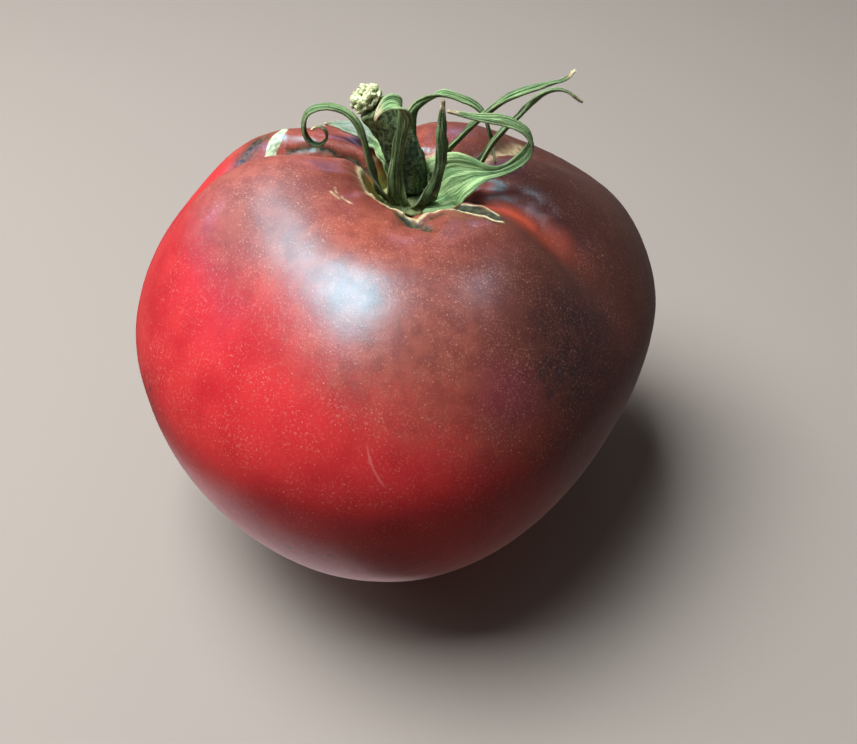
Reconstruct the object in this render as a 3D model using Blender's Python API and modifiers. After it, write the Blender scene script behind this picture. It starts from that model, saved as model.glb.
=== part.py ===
"""A ripe, dark-shouldered beefsteak tomato: the fruit, its curled calyx and the snapped stub of its stalk.

The origin is the middle of the flat spot that the fruit rests on, +Z is up, and -Y is the front.
Run it with: blender --background --python part.py
"""

import math
from bisect import bisect_left

import bmesh
import bpy
from mathutils import Vector, noise

MM = 0.001

# The fruit: a broad-shouldered globe, tapering a little to the bottom.
FRUIT_RADIUS = 48.6 * MM
WIDEST_HEIGHT = 43.4 * MM
CROWN_HEIGHT = 81.1 * MM
BASE_FLATTENING = 0.8 * MM
FRUIT_SEGMENTS = 72
FRUIT_RINGS = 54
RING_CROWDING = 1.25
SHOULDER_FULLNESS = 1.018
BASE_FULLNESS = 0.97
SHOULDER_DROOP = 0.29

# Seen from above the fruit is a soft triangle.
# The waves of its radius: count, height, azimuth of the crest.
OUTLINE_WAVES = (
    (1, 1.7 * MM, math.radians(-37)),
    (2, 2.4 * MM, math.radians(39)),
    (3, 2.6 * MM, math.radians(35)),
)
WIDEST_TILT = (1, 0.8 * MM, 0)
SHOULDER_TILT = (1, 4.6 * MM, math.radians(182))

# The hollow that the stalk grows from lies a little to the right of the middle.
# It is a wide basin with a steep pit in its middle: depth, radius and steepness of each.
HOLLOW_X = 4.5 * MM
BASIN = (6.4 * MM, 15 * MM, 2.5)
PIT = (5.9 * MM, 8.9 * MM, 8)

# Furrows between the lobes run out from the hollow, each a narrow groove in a wide valley.
# Azimuths at the rim and farther out, depth of the groove, depth of the valley, half width of the groove,
# polar angle where it ends.
LONG_FURROWS = (
    (155, 171, 5.0 * MM, 0.8 * MM, 7, 64),
    (-19, -19, 0.9 * MM, 2.3 * MM, 6, 84),
    (38, 38, 2.4 * MM, 1.6 * MM, 8, 74),
    (92, 92, 1.2 * MM, 0.9 * MM, 8, 70),
)
FURROW_BEND = (11, 22)
VALLEY_SPREAD = 2.4
FURROW_START = (5, 17)
FURROW_FADE = 0.45
# Lobes stand out between the furrows, and one flat stands back at the front.
# Azimuth, height, half width, polar angle of the crest, half width along it.
LOBES = (
    (194, 5.1 * MM, 24, 34, 18),
    (158, 2.6 * MM, 14, 34, 18),
    (50, 3.4 * MM, 25, 69, 20),
    (-88, -2.8 * MM, 48, 16, 13),
)
LOBE_START = (5, 15)
# Short nicks in the rim of the hollow: azimuth, depth, half width in degrees.
RIM_NICKS = (
    (-92, 1.3 * MM, 8),
    (-44, 1.1 * MM, 8),
)
NICK_POLAR = 13
NICK_SPREAD = 7

# The calyx: a fleshy disc in the hollow, with the sepals rising from it.
DISC_CENTRE = Vector((4.4, 0, 71.0)) * MM
DISC_RADIUS = 6.0 * MM
DISC_HALF_HEIGHT = 1.5 * MM
DISC_SEGMENTS = 32
DISC_RINGS = 12
SEPAL_THICKNESS = 0.7 * MM
SEPAL_COLUMNS = 4
SEPAL_TIP_WIDTH = 0.8 * MM
STEPS_PER_SPAN = 24
# The shares of a sepal's length between which it changes.
ROOT_NARROWS = (0.05, 0.35)
TOP_SPREADS = (0.5, 0.8)
ROOT_TURNS = (0.05, 0.2)
TIP_TURNS = (0.3, 0.9)
TROUGH_DEEPENS = (0.05, 0.3)
TROUGH_FADES = (0.7, 1.0)
TIP_SHARPNESS = 1.5

# The stalk stub stands on the disc and leans to the left: x, y, z and the radius there, in millimetres.
STALK_PATH = (
    (3.2, 0.0, 73.1, 3.3), (3.3, 0.0, 75.2, 3.2), (2.8, 0.0, 78.0, 3.35), (1.9, 0.0, 80.6, 3.15),
    (0.7, 0.0, 83.4, 2.95), (-0.9, 0.0, 86.0, 2.9), (-2.5, 0.0, 88.2, 3.0),
)
STALK_SIDES = 20
STALK_RINGS = 20
STALK_END_RINGS = 2
STALK_RIBS = 5
RIB_HEIGHT = 0.2 * MM
# The torn end of the stub: a rough round of pale pith.
BREAK_RADIUS = 2.75 * MM
BREAK_HALF_HEIGHT = 0.8 * MM
BREAK_OFFSET = 1.1 * MM
BREAK_ROUGHNESS = 0.5 * MM
BREAK_GRAIN = 3
BREAK_SEGMENTS = 24
BREAK_RINGS = 14

# Each sepal, in millimetres: its path, its width at the root, in the middle and near the top, the share
# of its length where it starts to narrow to the tip, how deep its trough is as a share of its width, the
# direction of its width along the blade and at the tip, and the number of rows along it.
SEPALS = {
    "curl": {
        "path": (
            (-0.1, -2.3, 71.5), (-1.5, -3.6, 74.2), (-2.5, -4.0, 78.2), (-3.6, -4.0, 82.4),
            (-4.6, -4.0, 86.6), (-6.6, -4.1, 89.2), (-9.6, -4.6, 90.4), (-12.3, -5.0, 89.9),
            (-13.4, -5.2, 88.0), (-13.4, -5.4, 85.8), (-12.4, -5.7, 84.3), (-11.0, -6.0, 84.2),
            (-9.8, -6.3, 85.6), (-9.9, -6.6, 87.3), (-11.0, -6.9, 88.2), (-12.2, -7.2, 87.6),
        ),
        "widths": (4.0, 2.1, 1.9),
        "point": 0.62,
        "trough": 0.25,
        "sides": ((0.5, 1, 0), (0.15, 1, 0)),
        "rows": 42,
    },
    "fold": {
        "path": (
            (2.1, -4.1, 71.3), (1.3, -5.0, 74.2), (1.2, -5.2, 78.0), (1.6, -5.1, 82.0),
            (2.5, -5.0, 86.6), (2.9, -5.0, 89.0), (2.3, -5.0, 90.8), (0.8, -5.1, 91.4),
            (-0.5, -5.6, 90.8), (-1.4, -6.0, 89.6), (-1.8, -6.2, 88.6),
        ),
        "widths": (3.6, 2.1, 3.3),
        "point": 0.76,
        "trough": 0.3,
        "sides": ((1, 0.1, 0), (0.35, -0.8, -0.5)),
        "rows": 28,
    },
    "arch": {
        "path": (
            (3.8, 4.4, 71.3), (3.8, 5.4, 74.6), (3.4, 6.0, 79.5), (4.4, 6.2, 84.4),
            (8.4, 6.2, 87.2), (12.8, 6.2, 86.2), (16.2, 6.0, 83.6), (17.5, 6.0, 79.0),
            (18.0, 6.2, 77.6),
        ),
        "widths": (4.2, 1.9, 1.9),
        "point": 0.55,
        "trough": 0.25,
        "sides": ((1, 0.3, 0), (0.1, 1, 0)),
        "rows": 26,
    },
    "centre": {
        "path": (
            (4.8, -3.9, 71.3), (6.6, -5.2, 73.4), (8.3, -5.4, 77.8), (8.9, -5.2, 83.0),
            (8.9, -5.0, 87.6), (9.1, -5.0, 91.8),
        ),
        "widths": (3.8, 1.9, 2.2),
        "point": 0.6,
        "trough": 0.45,
        "sides": ((1, 0.2, 0), (1, -0.4, 0)),
        "rows": 18,
    },
    "loop": {
        "path": (
            (7.4, -1.8, 71.3), (9.8, -2.6, 75.4), (13.6, -3.2, 77.2), (18.6, -3.4, 77.8),
            (22.4, -3.2, 80.0), (23.8, -3.0, 82.8), (22.4, -2.8, 85.4), (19.0, -2.6, 87.0),
            (14.6, -2.4, 87.4), (9.8, -2.2, 88.4),
        ),
        "widths": (10.5, 2.1, 2.1),
        "point": 0.7,
        "trough": 0.2,
        "sides": ((-0.5, 0.25, 1), (0.1, 0.8, 0.5)),
        "rows": 30,
    },
    "long_back": {
        "path": (
            (6.8, 3.0, 71.3), (7.8, 3.4, 75.2), (11.0, 3.2, 79.4), (15.8, 3.2, 84.6),
            (20.4, 3.2, 88.2), (25.8, 3.2, 90.2), (29.6, 3.0, 91.6), (31.0, 3.0, 93.2),
        ),
        "widths": (4.2, 2.0, 2.0),
        "point": 0.6,
        "trough": 0.35,
        "sides": ((0.3, 1, 0), (0.2, 1, 0.3)),
        "rows": 24,
    },
    "long_front": {
        "path": (
            (8.8, 0.8, 71.3), (12.8, 0.9, 74.2), (15.4, 1.0, 77.0), (18.2, 1.2, 81.6),
            (22.2, 2.6, 85.4), (26.0, 5.2, 87.8), (29.6, 5.6, 88.2), (33.0, 5.2, 86.2),
        ),
        "widths": (4.2, 2.0, 2.0),
        "point": 0.6,
        "trough": 0.35,
        "sides": ((0.2, 1, 0.2), (0.2, 1, -0.3)),
        "rows": 24,
    },
    "back_left": {
        "path": (
            (1.4, 4.2, 71.3), (0.4, 6.2, 74.4), (-2.2, 8.4, 77.4), (-5.4, 9.0, 79.2),
            (-8.6, 8.4, 80.2), (-11.4, 7.6, 81.0),
        ),
        "widths": (4.0, 3.4, 3.0),
        "point": 0.6,
        "trough": 0.15,
        "sides": ((0.7, 0.7, 0), (0.3, 1, 0.1)),
        "rows": 18,
    },
}

MATERIALS = {
    "fruit_skin": ((0.36, 0.035, 0.03, 1), 0.3),
    "calyx_green": ((0.13, 0.22, 0.06, 1), 0.7),
    "stalk_green": ((0.16, 0.2, 0.08, 1), 0.75),
    "torn_pith": ((0.62, 0.58, 0.36, 1), 0.9),
}


def clear_scene():
    for found in list(bpy.data.objects):
        bpy.data.objects.remove(found, do_unlink=True)


def new_collection(name):
    made = bpy.data.collections.new(name)
    bpy.context.scene.collection.children.link(made)
    return made


def new_material(name):
    colour, roughness = MATERIALS[name]
    made = bpy.data.materials.new(name)
    made.use_nodes = True
    shader = made.node_tree.nodes["Principled BSDF"]
    shader.inputs["Base Color"].default_value = colour
    shader.inputs["Roughness"].default_value = roughness
    shader.inputs["Metallic"].default_value = 0.0
    made.diffuse_color = colour
    return made


def object_from(bm, name, collection, material):
    """A new object that holds this mesh, shaded smooth."""
    mesh = bpy.data.meshes.new(name)
    bm.to_mesh(mesh)
    bm.free()
    mesh.shade_smooth()
    mesh.materials.append(material)
    made = bpy.data.objects.new(name, mesh)
    collection.objects.link(made)
    return made


def ease(x, start, end):
    """0 before start, 1 after end, and smooth between them."""
    t = min(max((x - start) / (end - start), 0), 1)
    return t * t * (3 - 2 * t)


def angle_between(a, b):
    return (a - b + 180) % 360 - 180


def bump(x, width, steepness=2):
    return math.exp(-(abs(x / width) ** steepness))


def furrow_depth(azimuth, polar):
    """How far the skin is pressed in, for an azimuth and a polar angle in degrees; less than 0 on a lobe."""
    depth = 0
    for place, height, half_width, crest, reach in LOBES:
        along = bump(polar - crest, reach) * ease(polar, *LOBE_START)
        depth -= height * bump(angle_between(azimuth, place), half_width) * along
    for near, far, groove, valley, half_width, reach in LONG_FURROWS:
        away = angle_between(azimuth, near + (far - near) * ease(polar, *FURROW_BEND))
        shape = groove * bump(away, half_width) + valley * bump(away, half_width * VALLEY_SPREAD)
        depth += shape * ease(polar, *FURROW_START) * (1 - ease(polar, FURROW_FADE * reach, reach))
    for place, deepest, half_width in RIM_NICKS:
        away = angle_between(azimuth, place)
        depth += deepest * bump(away, half_width) * bump(polar - NICK_POLAR, NICK_SPREAD)
    return depth


def wave(azimuth, waves):
    return sum(height * math.cos(count * (azimuth - crest)) for count, height, crest in waves)


def fruit_point(direction):
    """The point of the skin for a direction from the middle of a unit sphere."""
    azimuth = math.atan2(direction.y, direction.x)
    polar = math.pi * (direction.angle(Vector((0, 0, 1))) / math.pi) ** RING_CROWDING
    up, around = math.cos(polar), max(math.sin(polar), 0)
    fullness = SHOULDER_FULLNESS if up > 0 else BASE_FULLNESS
    radius = (FRUIT_RADIUS + wave(azimuth, OUTLINE_WAVES)) * around**fullness
    widest = WIDEST_HEIGHT + wave(azimuth, [WIDEST_TILT]) * around
    if up > 0:
        crown = CROWN_HEIGHT + wave(azimuth, [SHOULDER_TILT]) * around
        height = widest + (crown - widest) * up * (1 - SHOULDER_DROOP * (1 - up))
        height -= sum(depth * bump(radius, width, steepness) for depth, width, steepness in (BASIN, PIT))
    else:
        height = widest + (widest + BASE_FLATTENING) * up
    shift = HOLLOW_X * max(up, 0) ** 3
    point = Vector((radius * math.cos(azimuth) + shift, radius * math.sin(azimuth), height))
    inward = (Vector((0, 0, WIDEST_HEIGHT)) - point).normalized()
    point += inward * furrow_depth(math.degrees(azimuth), math.degrees(polar))
    point.z = max(point.z, 0)
    return point


def make_fruit(collection):
    bm = bmesh.new()
    bmesh.ops.create_uvsphere(bm, u_segments=FRUIT_SEGMENTS, v_segments=FRUIT_RINGS, radius=1)
    for vertex in bm.verts:
        vertex.co = fruit_point(vertex.co.normalized())
    return object_from(bm, "fruit", collection, new_material("fruit_skin"))


def smooth_path(points, count):
    """Rows at even steps along a smooth curve through the given points."""
    ends = [Vector(p) for p in points]
    knots = [2 * ends[0] - ends[1], *ends, 2 * ends[-1] - ends[-2]]
    fine = [ends[0]]
    for a, b, c, d in zip(knots, knots[1:], knots[2:], knots[3:]):
        for step in range(1, STEPS_PER_SPAN + 1):
            t = step / STEPS_PER_SPAN
            bend = (2 * a - 5 * b + 4 * c - d) * t**2 + (3 * b - a - 3 * c + d) * t**3
            fine.append(b + ((c - a) * t + bend) / 2)
    travelled = [0.0]
    for a, b in zip(fine, fine[1:]):
        travelled.append(travelled[-1] + (b - a).length)
    rows = []
    for i in range(count):
        wanted = travelled[-1] * i / (count - 1)
        j = min(bisect_left(travelled, wanted, 1), len(fine) - 1)
        share = (wanted - travelled[j - 1]) / (travelled[j] - travelled[j - 1])
        rows.append(fine[j - 1].lerp(fine[j], share))
    return rows


def direction_at(line, i):
    return (line[min(i + 1, len(line) - 1)] - line[max(i - 1, 0)]).normalized()


def around_stalk(point):
    """The level direction round the stalk at this point: how the broad root of a sepal lies."""
    return Vector((0, 0, 1)).cross(point - Vector(STALK_PATH[0][:3]) * MM).normalized()


def sepal_width(along, root, middle, top, point):
    """Broad at the root, then even, spreading a little to the top if it folds there, and drawn to a tip."""
    width = middle + (root - middle) * (1 - ease(along, *ROOT_NARROWS))
    width += (top - middle) * ease(along, *TOP_SPREADS)
    return SEPAL_TIP_WIDTH + (width - SEPAL_TIP_WIDTH) * (1 - ease(along, point, 1) ** TIP_SHARPNESS)


def make_sepal(name, shape, collection, material):
    """A troughed blade along its path: a grid bent to the curve and given its thickness by Solidify."""
    line = smooth_path([Vector(p) * MM for p in shape["path"]], shape["rows"])
    root, middle, top = (width * MM for width in shape["widths"])
    blade_side, tip_side = (Vector(side).normalized() for side in shape["sides"])
    bm = bmesh.new()
    bmesh.ops.create_grid(bm, x_segments=shape["rows"] - 1, y_segments=SEPAL_COLUMNS, size=0.5)
    for vertex in bm.verts:
        along, across = vertex.co.x + 0.5, vertex.co.y * 2
        i = round(along * (shape["rows"] - 1))
        tangent = direction_at(line, i)
        hint = around_stalk(line[i])
        if hint.dot(blade_side) < 0:
            hint.negate()
        hint = hint.lerp(blade_side, ease(along, *ROOT_TURNS)).lerp(tip_side, ease(along, *TIP_TURNS))
        side = (hint - tangent * hint.dot(tangent)).normalized()
        width = sepal_width(along, root, middle, top, shape["point"])
        trough = shape["trough"] * width * (across**2 - 0.5)
        trough *= ease(along, *TROUGH_DEEPENS) * (1 - ease(along, *TROUGH_FADES))
        vertex.co = line[i] + side * (across * width / 2) + tangent.cross(side) * trough
    made = object_from(bm, name, collection, material)
    shell = made.modifiers.new("thickness", "SOLIDIFY")
    shell.thickness = SEPAL_THICKNESS
    shell.offset = 0
    return made


def make_disc(collection, material):
    """The flattened round that the sepals grow from."""
    bm = bmesh.new()
    bmesh.ops.create_uvsphere(bm, u_segments=DISC_SEGMENTS, v_segments=DISC_RINGS, radius=1)
    for vertex in bm.verts:
        x, y, z = vertex.co
        vertex.co = DISC_CENTRE + Vector((x * DISC_RADIUS, y * DISC_RADIUS, z * DISC_HALF_HEIGHT))
    return object_from(bm, "calyx", collection, material)


def make_calyx(collection):
    """The disc and its sepals, joined in one body."""
    material = new_material("calyx_green")
    calyx = make_disc(collection, material)
    sepals = new_collection("sepals")
    for name, shape in SEPALS.items():
        make_sepal("sepal_" + name, shape, sepals, material)
    joined = calyx.modifiers.new("sepals", "BOOLEAN")
    joined.operation = "UNION"
    joined.operand_type = "COLLECTION"
    joined.collection = sepals
    joined.solver = "EXACT"
    bpy.context.view_layer.objects.active = calyx
    bpy.ops.object.modifier_apply(modifier=joined.name)
    for sepal in list(sepals.objects):
        bpy.data.objects.remove(sepal, do_unlink=True)
    bpy.data.collections.remove(sepals)
    calyx.data.shade_smooth()


def make_stalk(collection):
    """A ribbed round stub: a globe drawn out along the leaning path, with its poles pressed flat."""
    line = smooth_path([Vector(p) * MM for p in STALK_PATH], STALK_RINGS)
    steps = STALK_RINGS - 1 + 2 * STALK_END_RINGS
    front = Vector((0, 1, 0))
    bm = bmesh.new()
    bmesh.ops.create_uvsphere(bm, u_segments=STALK_SIDES, v_segments=steps, radius=1)
    for vertex in bm.verts:
        step = math.acos(max(-1, min(1, -vertex.co.z))) / math.pi * steps
        i = min(max(round(step) - STALK_END_RINGS, 0), STALK_RINGS - 1)
        centre, radius = line[i].xyz, line[i].w
        flat = min(1, step / STALK_END_RINGS, (steps - step) / STALK_END_RINGS)
        azimuth = math.atan2(vertex.co.y, vertex.co.x)
        across = front.cross(direction_at([row.xyz for row in line], i)).normalized()
        reach = (radius + RIB_HEIGHT * math.cos(STALK_RIBS * azimuth)) * flat
        vertex.co = centre + (across * math.cos(azimuth) + front * math.sin(azimuth)) * reach
    object_from(bm, "stem", collection, new_material("stalk_green"))


def make_break(collection):
    """The torn end: a flat round with a rough top, just clear of the end of the stub."""
    line = [Vector(p[:3]) * MM for p in STALK_PATH]
    front = Vector((0, 1, 0))
    axis = (line[-1] - line[-2]).normalized()
    across = front.cross(axis).normalized()
    bm = bmesh.new()
    bmesh.ops.create_uvsphere(bm, u_segments=BREAK_SEGMENTS, v_segments=BREAK_RINGS, radius=1)
    for vertex in bm.verts:
        x, y, z = vertex.co
        rough = BREAK_ROUGHNESS * noise.noise(Vector((x, y, 0)) * BREAK_GRAIN) * max(z, 0)
        level = axis * (BREAK_OFFSET + BREAK_HALF_HEIGHT * z + rough)
        vertex.co = line[-1] + level + (across * x + front * y) * BREAK_RADIUS
    object_from(bm, "stem_break", collection, new_material("torn_pith"))


def main():
    clear_scene()
    tomato = new_collection("tomato")
    make_fruit(tomato)
    make_calyx(tomato)
    make_stalk(tomato)
    make_break(tomato)


main()
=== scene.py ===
# %% [markdown]
# # A ripe beefsteak tomato
# The solids of this part come from its own source, and are loaded here as a fixed frame. Everything below is
# about looks: a skin with its furrows, corky scars and speckles, thin curled sepals, a ribbed stub and its torn
# end. All measures are in metres, +Z is up, and the fruit rests on the origin.

# %% Load the solids
import math

import bpy
import numpy as np
from mathutils import Euler, Matrix, Vector, noise


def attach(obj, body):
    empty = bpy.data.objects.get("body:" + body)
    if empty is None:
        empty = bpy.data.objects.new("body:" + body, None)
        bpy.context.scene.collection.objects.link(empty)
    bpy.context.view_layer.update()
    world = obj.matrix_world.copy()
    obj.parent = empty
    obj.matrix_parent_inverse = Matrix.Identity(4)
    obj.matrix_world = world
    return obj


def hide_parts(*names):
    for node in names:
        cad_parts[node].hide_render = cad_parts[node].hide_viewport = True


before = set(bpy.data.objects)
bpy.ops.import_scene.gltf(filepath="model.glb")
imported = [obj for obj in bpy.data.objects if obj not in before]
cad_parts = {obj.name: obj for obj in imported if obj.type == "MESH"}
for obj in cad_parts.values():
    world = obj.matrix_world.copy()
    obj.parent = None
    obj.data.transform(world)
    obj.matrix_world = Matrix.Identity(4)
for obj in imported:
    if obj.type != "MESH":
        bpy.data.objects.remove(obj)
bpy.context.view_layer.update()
MM = 0.001
# Without a seed, noise vectors start from the clock, and each run would set the crumbs and hairs otherwise.
noise.seed_set(3)

# %% [markdown]
# ## The camera
# The picture looks down at about 40 degrees from close by. A long lens from far away would flatten the fruit, so
# the camera stands a quarter of a metre off with a normal lens, where the near belly looks as big as it does in
# life. A camera that isn't turned looks straight down, so a turn of 50 degrees leaves it looking down at 40.

# %% Set up the camera
CAMERA_PLACE = (0.00675, -0.1724, 0.1754)
CAMERA_TURN = math.radians(50)
bpy.ops.object.select_all(action="DESELECT")
bpy.ops.object.camera_add(location=CAMERA_PLACE, rotation=(CAMERA_TURN, 0, 0))
camera = bpy.context.object
camera.data.sensor_width = 36
camera.data.lens = 47.8
camera.data.clip_start = 0.005
bpy.context.scene.camera = camera
print("lens:", round(camera.data.lens, 1), "mm")

# %% [markdown]
# ## The floor
# A pale floor keeps attention on the fruit, but its shine would lie grey on the flanks. It could be made darker,
# but then the whole picture would be, so it is hidden from the fruit's own reflections instead.

# %% Add the floor
FLOOR_SIZE = 3
FLOOR_GREY = (0.3, 0.29, 0.275, 1)
bpy.ops.mesh.primitive_plane_add(size=FLOOR_SIZE, location=(0, 0, 0))
floor = bpy.context.object
floor.name = "floor"
floor_paint = bpy.data.materials.new("pale_floor")
floor_paint.use_nodes = True
floor_shader = floor_paint.node_tree.nodes["Principled BSDF"]
floor_shader.inputs["Base Color"].default_value = FLOOR_GREY
floor_shader.inputs["Roughness"].default_value = 1.0
floor_shader.inputs["Specular IOR Level"].default_value = 0.0
floor.data.materials.append(floor_paint)
floor.visible_glossy = floor.visible_diffuse = floor.visible_shadow = False
print("floor:", FLOOR_SIZE, "m wide")

# %% [markdown]
# ## The light
# One lamp could both shade the fruit and shine on its skin, but then neither could be set alone. So the shape is
# lit by a soft panel high on the left and a weak warm one below it, which the skin doesn't mirror, and each sheen
# on the skin has a panel of its own, most of them cool, which only reflections see.

# %% Light the fruit
LIGHT_TARGET = Vector((0, 0, 50)) * MM


def add_panel(name, azimuth, elevation, distance, size, power, colour):
    """A soft panel that faces the fruit from this azimuth and elevation, in degrees."""
    a, e = math.radians(azimuth), math.radians(elevation)
    away = Vector((math.cos(a) * math.cos(e), math.sin(a) * math.cos(e), math.sin(e)))
    bpy.ops.object.light_add(type="AREA", location=LIGHT_TARGET + away * distance)
    panel = bpy.context.object
    panel.name = name
    panel.rotation_euler = away.to_track_quat("Z", "Y").to_euler()
    panel.data.shape = "RECTANGLE"
    panel.data.size, panel.data.size_y = size
    panel.data.energy = power
    panel.data.color = colour
    return panel


key = add_panel("key", 180, 68, 0.6, (0.44, 0.4), 8.3, (1.0, 0.96, 0.93))
left_window = add_panel("left_window", 162, 22, 0.7, (0.3, 0.3), 1.6, (1.0, 0.8, 0.74))
key.visible_glossy = left_window.visible_glossy = False
print("lit by", key.name, "and", left_window.name)

# %% Add the sheens and the glow of the room
# Each sheen: its azimuth, elevation, width, height, power and colour.
SHEENS = (
    (203, 74, 0.28, 0.28, 8.6, (0.18, 0.8, 1.0)),
    (163, 25, 0.05, 0.18, 1.4, (0.25, 0.4, 1.0)),
    (4, 53, 0.14, 0.14, 0.6, (0.6, 0.8, 1.0)),
    (80, 30, 0.14, 0.06, 0.3, (0.4, 0.5, 1.0)),
    (157, -66, 0.5, 0.4, 0.55, (1.0, 0.75, 0.78)),
)
SHEEN_DISTANCE = 0.6
ROOM_COLOUR = (1.0, 0.86, 0.76, 1)
ROOM_GLOW = 0.12
for number, (azimuth, elevation, wide, high, power, colour) in enumerate(SHEENS):
    sheen = add_panel(f"sheen_{number}", azimuth, elevation, SHEEN_DISTANCE, (wide, high), power, colour)
    sheen.visible_diffuse = False
world = bpy.data.worlds.new("room")
bpy.context.scene.world = world
world.use_nodes = True
world.node_tree.nodes["Background"].inputs["Color"].default_value = ROOM_COLOUR
world.node_tree.nodes["Background"].inputs["Strength"].default_value = ROOM_GLOW
bpy.context.scene.view_settings.view_transform = "Standard"

# %% [markdown]
# ## Sums with sockets
# A finish is a small sum: so much brown where the shoulder is, so much red below, speckles on top. Wrapping a
# socket in a class lets such a sum be written as one line, and each operator adds the Math node that it needs. A
# second class holds a material and adds every other node. Both could be done by hand in the shader editor, but
# there a sum of forty terms is hard to read and to change.


# %% A class for sums
class Value:
    """A number that changes over the surface: one socket, with the operators that the finishes use."""

    def __init__(self, finish, socket):
        self.finish, self.socket = finish, socket

    def maths(self, operation, *values, clamp=False):
        settings = {"operation": operation, "use_clamp": clamp}
        return self.finish.node("ShaderNodeMath", settings, dict(enumerate(values)))

    def __add__(self, other):
        return self.maths("ADD", self, other)

    def __mul__(self, other):
        return self.maths("MULTIPLY", self, other)

    def __sub__(self, other):
        return self.maths("SUBTRACT", self, other)

    def __rsub__(self, other):
        return self.maths("SUBTRACT", other, self)

    def __pow__(self, other):
        return self.maths("POWER", self, other)

    __radd__ = __add__
    __rmul__ = __mul__

    def clamp(self):
        return self.maths("ADD", self, 0, clamp=True)

    def size(self):
        return self.maths("ABSOLUTE", self)

    def between(self, low, high):
        """0 at low, 1 at high, and smooth between them."""
        settings = {"interpolation_type": "SMOOTHSTEP"}
        return self.finish.node("ShaderNodeMapRange", settings, {"Value": self, "From Min": low, "From Max": high})


print("a sum knows", [name for name in vars(Value) if not name.startswith("__")])


# %% A class for a material
class Finish:
    """A material with one Principled shader, and the ways to add nodes to it."""

    def __init__(self, name, **uniform):
        self.material = bpy.data.materials.new(name)
        self.material.use_nodes = True
        self.tree = self.material.node_tree
        self.shader = self.tree.nodes["Principled BSDF"]
        for socket, value in uniform.items():
            self.shader.inputs[socket.replace("_", " ")].default_value = value
        place = self.node("ShaderNodeTexCoord", out="Object")
        self.place = self.node("ShaderNodeVectorMath", {"operation": "SCALE"}, {0: place, "Scale": 1 / MM})

    def node(self, kind, settings=None, inputs=None, out=0):
        """Adds a node: its settings first, then the values or links of its sockets."""
        made = self.tree.nodes.new(kind)
        for name, value in (settings or {}).items():
            if name == "stops":
                ramp = made.color_ramp
                while len(ramp.elements) < len(value):
                    ramp.elements.new(0.5)
                for element, (position, colour) in zip(ramp.elements, value):
                    element.position, element.color = position, colour
            else:
                setattr(made, name, value)
        for name, value in (inputs or {}).items():
            if isinstance(value, Value):
                self.tree.links.new(value.socket, made.inputs[name])
            else:
                made.inputs[name].default_value = value
        return Value(self, made.outputs[out])

    def axes(self):
        """x, y and z of the place on the object, in millimetres."""
        return [self.node("ShaderNodeSeparateXYZ", None, {0: self.place}, out) for out in range(3)]

    def noise(self, per_mm, detail=2, where=None, distortion=0.0):
        inputs = {"Vector": where or self.place, "Scale": per_mm, "Detail": detail, "Distortion": distortion}
        return self.node("ShaderNodeTexNoise", None, inputs, "Fac")

    def dots(self, per_mm):
        """How far the surface is from the nearest of many scattered points, in their own spacing."""
        return self.node("ShaderNodeTexVoronoi", None, {"Vector": self.place, "Scale": per_mm}, "Distance")

    def stretch(self, where, scales):
        return self.node("ShaderNodeVectorMath", {"operation": "MULTIPLY"}, {0: where, 1: scales})

    def mix(self, amount, first, second):
        """The first colour where the amount is 0, and the second where it is 1."""
        return self.node("ShaderNodeMix", {"data_type": "RGBA"}, {0: amount, 6: first, 7: second}, 2)

    def shades(self, pattern, first, second):
        """Two shades of one colour, broken up by a noise."""
        return self.mix(pattern.between(0.35, 0.65), first, second)

    def attribute(self, name):
        """A value that the mesh carries at each of its points."""
        return self.node("ShaderNodeAttribute", {"attribute_name": name}, None, "Fac")

    def away(self, *point):
        """How far the surface is from a point, in millimetres."""
        return self.node("ShaderNodeVectorMath", {"operation": "DISTANCE"}, {0: self.place, 1: point}, "Value")

    def bump(self, height, distance, strength=1.0):
        inputs = {"Height": height, "Distance": distance, "Strength": strength}
        return self.node("ShaderNodeBump", None, inputs, "Normal")

    def feed(self, **links):
        for name, value in links.items():
            self.tree.links.new(value.socket, self.shader.inputs[name.replace("_", " ")])


# %% A helper for colours
def linear(*srgb):
    """A colour as the eye names it, from 0 to 255, as the linear values that a shader takes."""
    return (*[(c / 255 / 12.92) if c < 10 else ((c / 255 + 0.055) / 1.055) ** 2.4 for c in srgb], 1)


print("a mid grey is", [round(c, 2) for c in linear(128, 128, 128)])

# %% [markdown]
# ## The skin: shape
# The skin follows the solid fruit, so it starts as a copy of it. The copy's loose triangles are merged and joined
# to quads, because Subdivision rounds a quad grid evenly. Then the ring round the hollow, where all the small
# forms are, is divided once more.

# %% Copy a solid and merge its triangles
MERGE_DISTANCE = 1e-6
QUAD_ANGLE = math.radians(60)


def activate(piece):
    bpy.ops.object.select_all(action="DESELECT")
    piece.select_set(True)
    bpy.context.view_layer.objects.active = piece


def merged_copy(node, name):
    """A copy of a solid, with its loose triangles merged and joined to quads."""
    piece = bpy.data.objects.new(name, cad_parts[node].data.copy())
    bpy.context.collection.objects.link(piece)
    piece.data.materials.clear()
    activate(piece)
    bpy.ops.object.mode_set(mode="EDIT")
    bpy.ops.mesh.select_all(action="SELECT")
    bpy.ops.mesh.customdata_custom_splitnormals_clear()
    bpy.ops.mesh.remove_doubles(threshold=MERGE_DISTANCE)
    bpy.ops.mesh.tris_convert_to_quads(face_threshold=QUAD_ANGLE, shape_threshold=QUAD_ANGLE)
    bpy.ops.object.mode_set(mode="OBJECT")
    return piece


skin = merged_copy("fruit", "skin")
print("skin:", sum(len(p.vertices) == 4 for p in skin.data.polygons), "quads at first")

# %% Round the skin, and divide its crown
HOLLOW = Vector((4.5, 0, 72)) * MM
CROWN_START = 60
CROWN_REACH = 27


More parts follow.
